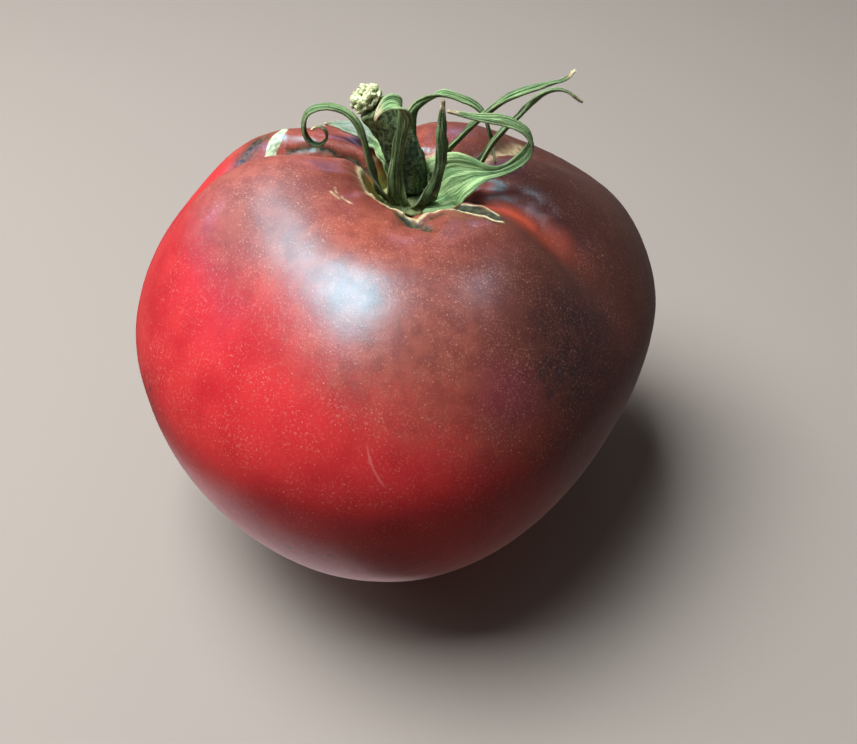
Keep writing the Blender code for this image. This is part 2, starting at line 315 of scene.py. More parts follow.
def divide_crown():
    """Cuts each face near the hollow in four."""
    bpy.ops.object.mode_set(mode="EDIT")
    bpy.ops.mesh.select_mode(type="FACE")
    bpy.ops.mesh.select_all(action="DESELECT")
    bpy.ops.object.mode_set(mode="OBJECT")
    for polygon in skin.data.polygons:
        away = polygon.center - HOLLOW
        polygon.select = polygon.center.z > CROWN_START * MM and away.xy.length < CROWN_REACH * MM
    bpy.ops.object.mode_set(mode="EDIT")
    bpy.ops.mesh.subdivide(number_cuts=1, smoothness=1)
    bpy.ops.object.mode_set(mode="OBJECT")


def round_off(piece, levels):
    """Adds Subdivision, and applies every modifier from the top."""
    rounding = piece.modifiers.new("rounding", "SUBSURF")
    rounding.levels = rounding.render_levels = levels
    activate(piece)
    for modifier in list(piece.modifiers):
        bpy.ops.object.modifier_apply(modifier=modifier.name)


divide_crown()
round_off(skin, 1)
divide_crown()
bpy.ops.object.shade_smooth()
print("skin:", len(skin.data.polygons), "faces")

# %% [markdown]
# ## The marks on the crown
# Where the fruit swelled faster than its skin, the skin split and healed in thin lines of pale cork, with olive
# scars beside them; olive also stands for painted shade in the notch of the rim and in the creases. They could be
# painted by hand, but a mark is easier to move as a row of numbers: a path across the top, its width, how strongly
# it shows and how high it stands. The reddish ridge is partly redder skin and partly painted glow, and the dark
# dip is painted shade.

# %% List the marks
# Each mark: its kind, its points across the top in millimetres, half its width, its strength and its height.
MARKS = (
    ("cork", ((-5.2, 1.8), (-5.0, -0.5), (-4.7, -3.2), (-3.2, -6.1)), 0.62, 1.0, 0.3),
    ("cork", ((-3.2, -6.1), (-0.4, -8.3), (2.5, -9.6)), 0.36, 1.0, 0.3),
    ("cork", ((-3.4, 6.0), (-0.6, 8.0), (3.6, 9.2), (8.4, 8.8), (12.4, 6.4), (14.2, 3.0)), 0.3, 0.5, 0.1),
    ("cork", ((2.5, -9.6), (3.8, -10.3), (4.8, -11.1), (5.8, -10.3), (7.6, -9.4), (9.6, -8.6), (12.0, -8.4)),
     0.28, 1.0, 0.2),
    ("cork", ((12.0, -8.4), (14.6, -10.3), (17.0, -11.5), (18.9, -11.8)), 0.26, 0.9, 0.15),
    # Painted shade: olive in and beside the notch of the rim, in this row and the next.
    ("olive", ((4.4, -12.3), (5.4, -13.4), (6.4, -14.8)), 1.3, 1.0, -0.9),
    ("olive", ((-0.4, -9.2), (3.0, -10.8)), 0.5, 0.7, -0.1),
    ("olive", ((12.2, -7.5), (14.8, -8.9), (17.8, -10.8)), 1.3, 1.8, -0.35),
    ("cork", ((12.6, -6.6), (15.4, -7.2), (18.6, -9.6)), 0.2, 0.6, 0.1),
    # Painted shade: olive in and beside the notch, in this row and the next.
    ("olive", ((2.4, -10.6), (3.4, -11.8), (4.6, -12.8)), 1.1, 1.6, -0.2),
    ("olive", ((5.8, -12.2), (7.0, -11.3), (9.0, -10.4)), 0.6, 0.7, -0.2),
    # Painted shade: olive along the floor of the crease on the left.
    ("olive", ((-3.6, 4.4), (-6.0, 5.0), (-7.8, 5.2), (-9.5, 5.2), (-11.2, 5.0), (-14.7, 5.0), (-18, 5.6)),
     0.5, 1.0, -0.4),
    ("olive", ((-22.6, 9.4), (-24.2, 9.3), (-25.4, 8.6), (-26.6, 7.8)), 1.7, 1.0, 0.3),
    ("silver", ((-19.0, 9.2), (-19.9, 7.6), (-21.4, 5.6)), 1.05, 1.0, 0.5),
    ("cork", ((16.5, 5.0), (18.5, 9.5), (21.5, 15.5), (25, 22.5)), 1.2, 0.55, 0.15),
    ("olive", ((15.0, 7.0), (17.5, 12.0), (20.5, 18)), 1.2, 0.6, 0),
    # Partly redder skin and partly painted glow: the orange-red band on the lit flank of the furrow on the right.
    ("ember", ((17.5, -6.6), (20.0, -6.9), (23.6, -7.4)), 2.0, 0.8, 0.2),
    ("ember", ((22.0, -7.2), (26.2, -7.8), (30.0, -8.0)), 2.6, 0.45, 0.1),
    ("ember", ((28.0, -7.9), (33.1, -8.6), (36.1, -10.6)), 2.6, 0.25, 0),
    ("ember", ((13.0, -1.0), (17.0, -1.6)), 0.8, 0.7, 0),
    ("shade", ((13.0, -2.2), (17.3, -3.2), (20.0, -3.7), (22.6, -4.1), (26.0, -4.4), (29.5, -4.6), (33.5, -5.0)),
     1.5, 0.8, -0.3),
    ("cork", ((-9.4, -10.1), (-7.8, -10.8)), 0.2, 0.8, 0),
    ("cork", ((-7.4, -10.0), (-6.0, -11.2)), 0.16, 0.7, 0),
    ("cork", ((-8.8, -8.9), (-8.2, -9.9)), 0.14, 0.6, 0),
)
KINDS = ("cork", "olive", "silver", "ember", "shade")
print(len(MARKS), "marks")

# %% Give each point of the skin its share of the marks
# The paths wander a little, so that no mark runs straight, and the marks fade out below the crown.
WANDER, WANDER_SIZE = 0.6, 2.5
CROWN_FADE = 7
mesh = skin.data
places = np.array([v.co for v in mesh.vertices]) / MM
x, y, z = places.T
wander = np.array([noise.noise_vector(Vector(p) / WANDER_SIZE) for p in places]) * WANDER
crown = np.clip((z - CROWN_START) / CROWN_FADE, 0, 1)


def distance_to(path, x, y):
    """How far each place is from a path of straight stretches."""
    best = np.full(len(x), 1e9)
    for (ax, ay), (bx, by) in zip(path, path[1:]):
        dx, dy = bx - ax, by - ay
        t = np.clip(((x - ax) * dx + (y - ay) * dy) / (dx * dx + dy * dy), 0, 1)
        best = np.minimum(best, np.hypot(x - ax - t * dx, y - ay - t * dy))
    return best


paint = {kind: np.zeros(len(x)) for kind in KINDS}
lift = np.zeros(len(x))
for kind, path, width, strength, height in MARKS:
    shape = np.exp(-((distance_to(path, x + wander[:, 0], y + wander[:, 1]) / width) ** 2)) * crown
    paint[kind] = np.maximum(paint[kind], strength * shape)
    lift += height * shape
for kind, values in paint.items():
    mesh.attributes.new(kind, "FLOAT", "POINT").data.foreach_set("value", values)
print("marked points:", {kind: int((values > 0.4).sum()) for kind, values in paint.items()})

# %% [markdown]
# ## The skin: relief
# A grown fruit has soft swells, fine radial wrinkles round the hollow, and marks that stand up or sink in. They are
# too fine for the solid. A Displace modifier could lift them, but it takes one texture at a time, so one loop sums
# them all and pushes each point along its normal. The foot is left flat, so that the fruit still rests on it.

# %% Push the skin in and out
# All in millimetres: how high, and how long from one swell to the next.
SWELL, SWELL_SIZE = 0.18, 15
RIPPLE, RIPPLE_SIZE = 0.04, 5
WRINKLE, WRINKLES_ROUND, WRINKLE_LENGTH = 0.3, 7, 9
RIM_RADIUS, RIM_WIDTH = 12, 5
FLAT_FOOT, FOOT_FADE = 0.2, 10
normals = [v.normal.copy() for v in mesh.vertices]
for vertex, normal, (x, y, z), mark in zip(mesh.vertices, normals, places, lift):
    if z < FLAT_FOOT:
        continue
    height = SWELL * noise.noise(Vector((x, y, z)) / SWELL_SIZE)
    height += RIPPLE * noise.noise(Vector((x, y, z)) / RIPPLE_SIZE)
    height *= min(z / FOOT_FADE, 1)
    if z > CROWN_START:
        level = Vector((x, y)) - HOLLOW.xy / MM
        around = level.normalized() * WRINKLES_ROUND
        rim = math.exp(-(((level.length - RIM_RADIUS) / RIM_WIDTH) ** 2))
        wrinkle = noise.noise(Vector((around.x, around.y, level.length / WRINKLE_LENGTH)))
        height += mark + WRINKLE * rim * wrinkle
    vertex.co += normal * (height * MM)
mesh.update()
print("skin height:", round(max(v.co.z for v in mesh.vertices) / MM, 1), "mm")

# %% [markdown]
# ## The skin: colour
# The red comes from the ripe flesh under a clear skin, and the brown on the shoulders from green that stays in it,
# so the two are mixed by height and by side. The right side is darker still, partly its own dark brown and partly
# painted shade away from the lamp on the left. A picture could be wrapped round the fruit, but noise in the
# object's own millimetres has no seam, and the grains keep their size.

# %% Mix the red and the browns
peel = Finish("tomato_skin", IOR=1.46, Coat_Weight=0.1, Coat_Roughness=0.25)
x, y, z = peel.axes()
drift = peel.noise(0.05, 3) - 0.5
grain = peel.noise(0.9, 4) - 0.5
shoulder = ((z + x * 0.42 + drift * 16 + grain * 6 - 60) * (1 / 9)).between(-1, 1)
# Painted shade: the right side is darkened partly for its own dark brown and partly for the shade away from the
# lamp.
right_dark_and_shade = ((x + z * 0.35 + drift * 12 + grain * 5 - 39) * (1 / 17)).between(-1, 1)
red = peel.mix(peel.noise(0.11, 2).between(0.35, 0.7), linear(190, 44, 48), linear(174, 30, 38))
brown = peel.shades(peel.noise(0.35, 4), linear(144, 80, 66), linear(122, 64, 54))
dark_brown_and_shade = peel.mix(z.between(28, 60), linear(98, 24, 20), linear(66, 34, 29))
colour = peel.mix(shoulder * 0.92, red, brown)
colour = peel.mix(right_dark_and_shade * 0.92, colour, dark_brown_and_shade)
print("skin finish, its ground:", len(peel.tree.nodes), "nodes")

# %% Add the dark patch and the painted purple reflection on the right
# A blotchy near-black patch on the right shoulder.
dark_patch = 1 - (peel.away(31, -27, 58) + drift * 14 + grain * 5).between(5, 17)
blotch = peel.noise(0.28, 4, distortion=0.6).between(0.4, 0.62)
colour = peel.mix(dark_patch * (0.4 + blotch * 0.4), colour, linear(34, 18, 24))
# A purple reflection, painted on the right front of the skin.
painted_purple_reflection = 1 - (peel.away(19, -38, 57) + drift * 10 + grain * 4).between(2, 9)
colour = peel.mix(painted_purple_reflection * 0.5, colour, linear(110, 36, 60))
print("with the bruise:", len(peel.tree.nodes), "nodes")

# %% [markdown]
# ## Scabs, a scratch and a scuff
# A real fruit is rubbed and pecked: a few dry scabs, one thin curved scratch in front and a scuff on the near left.
# Each could be a small piece, but they have no height to speak of. The distance from a point gives a round scab,
# and the shell at a fixed distance from a point, cut short near one place on it, gives the arc of the scratch.

# %% Add the scabs and the rubbed places
# Each scab: its place and its radius, in millimetres.
SCABS = (
    (28, -31.7, 56.7, 1.7), (30.8, -29.2, 55.7, 1.3), (26.2, -35, 55.3, 1.1), (24.5, -33.5, 58.4, 0.7),
    (-16.3, -46.4, 31.5, 0.7), (-12.8, -48, 32.1, 0.5), (-9.4, -49.1, 32.6, 0.6), (-41.8, -22.4, 45.5, 0.6),
)
SCRATCH_RADIUS = 11.6
scab = 0
for px, py, pz, radius in SCABS:
    scab = scab + (1 - (peel.away(px, py, pz) + grain * 2).between(radius * 0.5, radius))
colour = peel.mix(scab.clamp() * 0.7, colour, linear(44, 30, 40))
arc = 1 - ((peel.away(9, -46, 56) - SCRATCH_RADIUS).size() + grain * 0.5).between(0.05, 0.3)
scratch = arc * (1 - peel.away(-2.4, -49, 52.5).between(2.5, 4.5))
colour = peel.mix(scratch.clamp() * 0.35, colour, linear(220, 130, 130))
near_left = 1 - peel.away(-42, -22, 45).between(6, 16)
scuff = near_left * peel.noise(0.8, 4, distortion=1.5).between(0.58, 0.66)
colour = peel.mix(scuff * 0.3, colour, linear(226, 140, 130))
print(len(SCABS), "scabs, a scratch and a scuff")

# %% [markdown]
# ## Specks
# The skin is full of tiny pale points, close together on the shoulders, with a few large ones and a fine dust
# between them. Thousands of small spheres would be slow, so scattered points of a Voronoi pattern stand for them.

# %% Add the specks
fine_dots, large_dots = peel.dots(2.7), peel.dots(0.9)
patches = peel.noise(0.16, 3).between(0.3, 0.65)
fine = (1 - (fine_dots + grain * 0.1).between(0.07, 0.27)) * (0.08 + shoulder * 0.42) * (0.4 + patches * 0.8)
large = (1 - (large_dots + grain * 0.05).between(0.05, 0.12)) * (0.4 + patches * 0.3)
dust = peel.noise(2.4, 3).between(0.52, 0.72) * (0.06 + patches * 0.16)
speck = (fine + large + dust).clamp() * 0.8
colour = peel.mix(speck, colour, linear(222, 176, 156))
print("with specks:", len(peel.tree.nodes), "nodes")

# %% [markdown]
# ## The hollow, and the marks in colour
# The wall of the hollow goes from green at the disc over straw to brown at the rim, so its colour is a ramp over
# the distance from the middle. The marks come as values on the mesh, which a material reads by name, and colour
# them over everything else. A small round scar underneath is where the blossom was.

# %% Colour the hollow
out = ((x - HOLLOW.x / MM) ** 2 + y ** 2) ** 0.5
deep = (1 - out.between(7.5, 11.5)) * z.between(50, 60)
WALL = [
    (0.0, linear(70, 86, 36)), (0.45, linear(150, 132, 62)), (0.8, linear(150, 66, 38)), (1.0, linear(124, 44, 34)),
]
wall_place = (out + grain * 3).between(6, 11.5)
wall = peel.node("ShaderNodeValToRGB", {"stops": WALL}, {"Fac": wall_place}, "Color")
colour = peel.mix(deep, colour, wall)
print("the wall has", len(WALL), "colours")

# %% Colour the marks and the blossom scar
cork, olive, silver, ember, shade = (peel.attribute(kind) for kind in KINDS)
flaky = peel.noise(1.3, 3)
olive_and_shade_skin = peel.shades(flaky, linear(74, 72, 34), linear(26, 30, 14))
cork_skin = peel.shades(peel.noise(0.8, 3), linear(226, 216, 172), linear(168, 148, 108))
silver_skin = peel.shades(flaky, linear(196, 218, 190), linear(140, 164, 128))
cork_broken = (cork * (0.75 + flaky)).clamp()
# First painted shade in the dark dip, then the orange-red band that is partly painted glow, then olive that is
# partly painted shade.
colour = peel.mix(shade * 0.8, colour, linear(52, 28, 32))
colour = peel.mix(ember * 0.8, colour, linear(196, 80, 52))
colour = peel.mix((olive * (0.6 + flaky * 0.8)).clamp() * 0.95, colour, olive_and_shade_skin)
colour = peel.mix(cork_broken, colour, cork_skin)
colour = peel.mix(silver.between(0.3, 0.5), colour, silver_skin)
blossom_scar = 1 - (peel.away(0, 0, 0) + grain * 3).between(1.5, 4)
colour = peel.mix(blossom_scar * 0.9, colour, linear(120, 92, 60))
print("with the marks:", len(peel.tree.nodes), "nodes")

# %% [markdown]
# ## The shine of the skin
# The skin is waxy and shines softly. One roughness all over would look like plastic, so it varies a little, it is
# rougher on cork and scars, and a dull bloom on the upper left spreads the sheen there. The bump is very low.

# %% Set the shine and the bump
bloom = 1 - peel.away(-22, -9, 73).between(5, 17)
waxy = 0.36 + bloom * 0.3 + (peel.noise(0.6, 3) - 0.5) * 0.12 + (cork_broken + olive * 0.6) * 0.35
pores = peel.noise(0.7, 2) * 0.5 + peel.noise(3.0, 3) * 0.35 + speck * 0.25
crust = (cork_broken + olive) * (0.6 + peel.noise(2.0, 3) * 1.5)
peel.feed(Base_Color=colour, Roughness=waxy, Normal=peel.bump(pores + crust, 0.00006, 0.8))
skin.data.materials.append(peel.material)
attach(skin, "root")
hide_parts("fruit")
print("skin finish:", len(peel.tree.nodes), "nodes")

# %% [markdown]
# ## The sepals
# A sepal is a thin leaf: a blade with a mid rib, folded to a trough, that dries and curls as the fruit ripens. Each
# one starts as a flat grid, because a grid carries a UV map along and across it for the veins. It is then laid
# along a smooth path in code, for only so do the blades follow the solid ones, and Solidify gives it its thickness.

# %% List the sepals
# Each sepal: its path in millimetres; its width at the root, in the middle and near the top; the point, from 0 to
# 1 along it, where it starts to narrow to its tip; how deep its trough is; its tone from root to tip, from painted
# shade at 0 to painted light at 1, and silvery past 1; and the way that its width lies on the blade and at the
# tip. The loop also says where it turns to that way and where its wide root narrows, because its root is so broad.
SEPALS = {
    "curl": {
        "path": (
            (-0.1, -2.3, 71.5), (-1.5, -3.6, 74.2), (-2.5, -4.0, 78.2), (-3.6, -4.0, 82.4),
            (-4.6, -4.0, 86.6), (-6.6, -4.1, 89.2), (-9.6, -4.6, 90.4), (-12.3, -5.0, 89.9),
            (-13.4, -5.2, 88.0), (-13.4, -5.4, 85.8), (-12.4, -5.7, 84.3), (-11.0, -6.0, 84.2),
            (-9.8, -6.3, 85.6), (-9.9, -6.6, 87.3), (-11.0, -6.9, 88.2), (-12.2, -7.2, 87.6),
        ),
        "widths": (4.0, 2.1, 1.9),
        "point": 0.62,
        "trough": 0.25,
        "tone": (0.1, 0.0, 0.05, 0.6, 0.9, 0.4, 0.0, 0.05, 0.0),
        "sides": ((0.12, 1, 0), (0.15, 1, 0)),
    },
    "fold": {
        "path": (
            (2.1, -4.1, 71.3), (1.3, -5.0, 74.2), (1.2, -5.2, 78.0), (1.6, -5.1, 82.0),
            (2.5, -5.0, 86.6), (2.9, -5.0, 89.0), (2.3, -5.0, 90.8), (0.8, -5.1, 91.4),
            (-0.5, -5.6, 90.8), (-1.4, -6.0, 89.6), (-1.8, -6.2, 88.6),
        ),
        "widths": (3.6, 2.1, 3.3),
        "point": 0.76,
        "trough": 0.3,
        "tone": (0.15, 0.2, 0.25, 0.35, 0.8, 0.95),
        "sides": ((1, 0.1, 0), (0.35, -0.8, -0.5)),
    },
    "arch": {
        "path": (
            (3.8, 4.4, 71.3), (3.8, 5.4, 74.6), (3.4, 6.0, 79.5), (4.4, 6.2, 84.4),
            (8.4, 6.2, 87.2), (12.8, 6.2, 86.2), (16.2, 6.0, 83.6), (17.5, 5.7, 79.4),
            (18.0, 4.2, 77.4), (18.4, 2.4, 76.0),
        ),
        "widths": (4.2, 1.9, 1.9),
        "point": 0.55,
        "trough": 0.25,
        "tone": (0.1, 0.1, 0.3, 0.6, 0.65, 0.5, 0.1, 0.05),
        "sides": ((1, 0.3, 0), (0.1, 1, 0)),
    },
    "centre": {
        "path": (
            (4.8, -3.9, 71.3), (6.6, -5.2, 73.4), (8.3, -5.4, 77.8), (8.9, -5.2, 83.0),
            (8.9, -5.0, 87.6), (9.1, -5.0, 91.8),
        ),
        "widths": (3.8, 1.9, 2.2),
        "point": 0.6,
        "trough": 0.45,
        "tone": (0.1, 0.0, 0.1, 0.2, 0.1),
        "sides": ((1, 0.2, 0), (1, -0.4, 0)),
    },
    "loop": {
        "path": (
            (7.4, -1.8, 71.3), (9.8, -2.6, 75.4), (13.6, -3.2, 77.2), (18.6, -3.4, 77.8),
            (22.4, -3.2, 80.0), (23.8, -3.0, 82.8), (22.4, -2.8, 85.4), (19.0, -2.6, 87.0),
            (14.6, -2.4, 87.4), (9.8, -2.2, 88.4),
        ),
        "widths": (10.5, 2.1, 2.1),
        "point": 0.7,
        "trough": 0.2,
        "tone": (0.7, 1.0, 1.0, 0.35, 0.4, 0.55, 0.7, 0.45),
        "turn": (0.0, 0.09),
        "narrowing": (0.13, 0.36),
        "sides": ((-0.45, 0.7, 0.85), (0.1, 0.8, 0.5)),
    },
    "long_back": {
        "path": (
            (6.8, 3.0, 71.3), (7.8, 3.4, 75.2), (11.0, 3.2, 79.4), (15.8, 3.2, 84.6),
            (20.4, 3.2, 88.2), (25.8, 3.2, 90.2), (29.6, 3.0, 91.6), (31.0, 3.0, 93.2),
        ),
        "widths": (4.2, 2.0, 2.0),
        "point": 0.6,
        "trough": 0.35,
        "tone": (0.1, 0.15, 0.25, 0.45, 0.5),
        "sides": ((0.3, 1, 0), (0.2, 1, 0.3)),
    },
    "long_front": {
        "path": (
            (8.8, 0.8, 71.3), (12.8, 0.9, 74.2), (15.4, 1.0, 77.0), (18.2, 1.2, 81.6),
            (22.2, 2.6, 85.4), (26.0, 5.2, 87.8), (29.6, 5.6, 88.2), (33.0, 5.2, 86.2),
        ),
        "widths": (4.2, 2.0, 2.0),
        "point": 0.6,
        "trough": 0.35,
        "tone": (0.05, 0.2, 0.4, 0.5, 0.4),
        "sides": ((0.2, 1, 0.2), (0.2, 1, -0.3)),
    },
    "back_left": {
        "path": (
            (1.4, 4.2, 71.3), (0.4, 6.2, 74.4), (-2.2, 8.4, 77.4), (-5.4, 9.0, 79.2),
            (-8.6, 8.4, 80.2), (-11.4, 7.6, 81.0),
        ),
        "widths": (4.0, 4.8, 4.4),
        "point": 0.6,
        "trough": 0.15,
        "tone": (0.4, 0.9, 1.3, 1.3),
        "sides": ((0.7, 0.7, 0), (0.3, 1, 0.1)),
    },
}


print(len(SEPALS), "sepals")


# %% A helper for smooth paths
def smooth_path(points, count):
    """Points at even steps along a smooth curve through the given ones."""
    knots = [Vector(p) for p in points]
    knots = [2 * knots[0] - knots[1], *knots, 2 * knots[-1] - knots[-2]]
    fine = [knots[1]]
    for a, b, c, d in zip(knots, knots[1:], knots[2:], knots[3:]):
        for step in range(1, 25):
            t = step / 24
            bend = (2 * a - 5 * b + 4 * c - d) * t**2 + (3 * b - a - 3 * c + d) * t**3
            fine.append(b + ((c - a) * t + bend) / 2)
    travelled = np.cumsum([0.0] + [(b - a).length for a, b in zip(fine, fine[1:])])
    wanted = np.linspace(0, travelled[-1], count)
    columns = [np.interp(wanted, travelled, [p[k] for p in fine]) for k in range(len(fine[0]))]
    return [Vector(p) for p in zip(*columns)]


curl = smooth_path(SEPALS["curl"]["path"], 90)
print("the curl is", round(sum((b - a).length for a, b in zip(curl, curl[1:])), 1), "mm long")

# %% [markdown]
# ## One blade
# A blade is as wide as its row says, dips to a trough and rolls at its edges, with ripples and thin ribs along it.
# It could be cut from a plane and bent by hand, eight times over. Here each point of the grid asks three small
# functions which way the width lies, how wide the blade is there, and how far the point stands off it.

# %% Helpers for the shape of a blade
STALK_FOOT = Vector((3.2, 0, 73.1)) * MM
TIP_WIDTH = 0.5 * MM
WIDTH_CHANGE = 0.26
RIPPLE_HEIGHT, RIB_HEIGHT = 0.34 * MM, 0.14 * MM
USUAL_TURN, USUAL_NARROWING = (0.05, 0.2), (0.05, 0.35)


def ease(x, start, end):
    """0 before the start, 1 past the end, and smooth between them."""
    t = min(max((x - start) / (end - start), 0), 1)
    return t * t * (3 - 2 * t)


def width_way(shape, along, place, tangent):
    """Which way the width lies: round the stalk at the root, then as the two sides of the row say."""
    blade_side, tip_side = (Vector(s).normalized() for s in shape["sides"])
    root_side = Vector((0, 0, 1)).cross(place - STALK_FOOT).normalized()
    if root_side.dot(blade_side) < 0:
        root_side.negate()
    turned = ease(along, *shape.get("turn", USUAL_TURN))
    hint = root_side.lerp(blade_side, turned).lerp(tip_side, ease(along, 0.3, 0.9))
    return (hint - tangent * hint.dot(tangent)).normalized()


def blade_width(shape, along, across, seed):
    root, middle, top = (w * MM for w in shape["widths"])
    narrowed = ease(along, *shape.get("narrowing", USUAL_NARROWING))
    width = middle + (root - middle) * (1 - narrowed) + (top - middle) * ease(along, 0.5, 0.8)
    width = TIP_WIDTH + (width - TIP_WIDTH) * (1 - ease(along, shape["point"], 1.0) ** 1.5)
    return width * (1 + WIDTH_CHANGE * noise.noise(Vector((along * 9, across, seed))))


def blade_relief(shape, along, across, width, seed):
    """How far a point stands off the blade: its trough, ripple, rolled edge and ribs."""
    trough = shape["trough"] * width * ease(along, 0.05, 0.3) * (1 - ease(along, 0.7, 1.0)) * (across**2 - 0.5)
    ripple = RIPPLE_HEIGHT * noise.noise(Vector((along * 11, across * 1.4, seed + 5))) * abs(across)
    roll = -0.25 * trough * ease(abs(across), 0.6, 1.0)
    ribs = math.cos(across * 9 + noise.noise(Vector((along * 5, seed, 2))) * 2) * min(width / (2 * MM), 1)
    return trough + ripple + roll + RIB_HEIGHT * ribs


print("halfway, ease gives", ease(0.5, 0, 1))

# %% Lay the blades along their paths
BLADE_ROWS = 72
BLADE_COLUMNS = 13
BLADE_THICKNESS = 0.42 * MM


def add_sepal(name, shape, seed):
    """One blade: a grid, laid along its path and given its thickness."""
    bpy.ops.object.select_all(action="DESELECT")
    bpy.ops.mesh.primitive_grid_add(x_subdivisions=BLADE_ROWS - 1, y_subdivisions=BLADE_COLUMNS - 1, size=1)
    blade = bpy.context.object
    blade.name = "sepal_" + name
    line = smooth_path([Vector(p) * MM for p in shape["path"]], BLADE_ROWS)
    tone = []
    for vertex in blade.data.vertices:
        along, across = vertex.co.x + 0.5, vertex.co.y * 2
        i = round(along * (BLADE_ROWS - 1))
        tangent = (line[min(i + 1, BLADE_ROWS - 1)] - line[max(i - 1, 0)]).normalized()
        side = width_way(shape, along, line[i], tangent)
        width = blade_width(shape, along, across, seed)
        off = blade_relief(shape, along, across, width, seed)
        vertex.co = line[i] + side * (across * width / 2) + tangent.cross(side) * off
        # The tone is painted light and shade along the blade, and silvery past 1.
        tone.append(np.interp(along, np.linspace(0, 1, len(shape["tone"])), shape["tone"]))
    blade.data.attributes.new("tone", "FLOAT", "POINT").data.foreach_set("value", tone)
    thickness = blade.modifiers.new("thickness", "SOLIDIFY")
    thickness.thickness = BLADE_THICKNESS
    thickness.offset = 0
    round_off(blade, 1)
    bpy.ops.object.shade_smooth()
    return blade


blades = [add_sepal(name, shape, seed) for seed, (name, shape) in enumerate(SEPALS.items())]
print("blades:", sum(len(b.data.polygons) for b in blades), "faces")

# %% [markdown]
# ## The green finish
# Stretches of a sepal that face the light are painted pale and those in shade are painted dark, and one turns a
# silvery grey, as its tone says. All have veins along them, and their tips dry to straw. Veins could be modelled,
# but they are too many, so noise is stretched along the UV map, which runs along each blade, and the straw comes
# in by length.

# %% Mix the greens
leaf = Finish("sepal_green", IOR=1.42)
uv = leaf.node("ShaderNodeTexCoord", out="UV")
along, across = (leaf.node("ShaderNodeSeparateXYZ", None, {0: uv}, k) for k in (0, 1))
veins = leaf.noise(1.0, 3, leaf.stretch(uv, (5, 16, 1)))
cloud = leaf.noise(0.5, 3)
# Painted light and shade: pale green where a stretch faces the light, dark green where it is in shade.
tone = leaf.attribute("tone")
silvery = tone.between(1.0, 1.25)
painted_lightness = (tone + (cloud - 0.5) * 0.7).clamp()
shaded = leaf.mix(veins.between(0.4, 0.6), linear(24, 37, 20), linear(80, 106, 56))
painted_lit_green = leaf.mix(veins.between(0.42, 0.6), linear(102, 142, 84), linear(176, 214, 152))
green = leaf.mix(silvery, leaf.mix(painted_lightness, shaded, painted_lit_green), linear(146, 166, 152))
print("greens:", len(leaf.tree.nodes), "nodes")

# %% Add pale edges, dry tips and pale dots
edge = ((across - 0.5).size() * 2).between(0.75, 1)
green = leaf.mix(edge * 0.4, green, linear(170, 186, 138))
dry = (along + (cloud - 0.5) * 0.16).between(0.9, 0.98)
green = leaf.mix(dry, green, leaf.shades(cloud, linear(146, 128, 92), linear(210, 202, 168)))
pale_dots = (1 - leaf.dots(2.2).between(0.08, 0.2)) * 0.4
green = leaf.mix(pale_dots, green, linear(190, 200, 150))
leaf_height = veins * 0.9 + leaf.noise(2.5, 3) * 0.5
leaf.feed(Base_Color=green, Roughness=0.55 + veins * 0.25, Normal=leaf.bump(leaf_height, 0.0004, 0.9))
for blade in blades:
    blade.data.materials.append(leaf.material)
    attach(blade, "root")
    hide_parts("calyx")
print("green finish:", len(leaf.tree.nodes), "nodes")

# %% [markdown]
# ## The disc of the calyx
# Where the sepals meet, the calyx is a fleshy disc pressed into the hollow. It could be spun from a profile, but
# its rim isn't round: each sepal's root swells out of it. So a sphere is flattened point by point, and its rim is
# pulled out in eight soft lobes.

# %% Model the disc
DISC_X, DISC_Z = 4.4, 71
DISC_REACH, LOBE_REACH = 6.0, 0.3
DISC_LIFT = 1.4
bpy.ops.object.select_all(action="DESELECT")
bpy.ops.mesh.primitive_uv_sphere_add(segments=96, ring_count=40, radius=1)
disc = bpy.context.object
disc.name = "calyx_disc"
for vertex in disc.data.vertices:
    around = math.atan2(vertex.co.y, vertex.co.x)
    level = math.hypot(vertex.co.x, vertex.co.y)
    lobe = LOBE_REACH * math.cos(len(SEPALS) * around) * level
    reach = DISC_REACH + lobe + 0.2 * noise.noise(Vector(vertex.co) * 2)
    lumps = noise.noise(Vector((math.cos(around) * 3, math.sin(around) * 3, level * 4)))
    height = DISC_LIFT + 0.35 * lumps
    vertex.co = Vector((DISC_X + vertex.co.x * reach, vertex.co.y * reach, DISC_Z + vertex.co.z * height)) * MM
bpy.ops.object.shade_smooth()
print("disc:", len(disc.data.polygons), "faces")

# %% Finish the disc
disc_green = Finish("disc_green", IOR=1.42)
patch = disc_green.noise(0.6, 4)
disc_colour = disc_green.shades(patch, linear(88, 102, 56), linear(150, 156, 104))
disc_bump = disc_green.bump(disc_green.noise(1.5, 3), 0.0003, 0.8)
disc_green.feed(Base_Color=disc_colour, Roughness=0.6 + patch * 0.2, Normal=disc_bump)
disc.data.materials.append(disc_green.material)
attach(disc, "root")
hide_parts("calyx")
print("disc finish:", len(disc_green.tree.nodes), "nodes")

# %% [markdown]
# ## Hairs on the green
# The green parts of the plant are covered in short soft hairs, which catch the light along the edges. A particle
# system could grow them, but a few hundred slim cones, one set on every so many points of the blades, are lighter
# and come out the same each time.

# %% A helper for copies
def copies(master, name, count, place):
    """Copies the first one with place(k), which gives each its matrix, and joins them in one piece."""
    made = []
    for k in range(count):
        single = master.copy()
        single.data = master.data.copy()
        single.data.transform(place(k))
        bpy.context.collection.objects.link(single)
        made.append(single)
    bpy.data.objects.remove(master, do_unlink=True)
    activate(made[0])
    for single in made:
        single.select_set(True)
    bpy.ops.object.join()
    joined = bpy.context.object
    joined.name = name
    bpy.ops.object.shade_smooth()
    return joined


def leaning(way):
    """The matrix that turns the z axis to this way."""
    return way.to_track_quat("Z", "Y").to_matrix().to_4x4()


print("helpers for copies:", copies.__name__, "and", leaning.__name__)

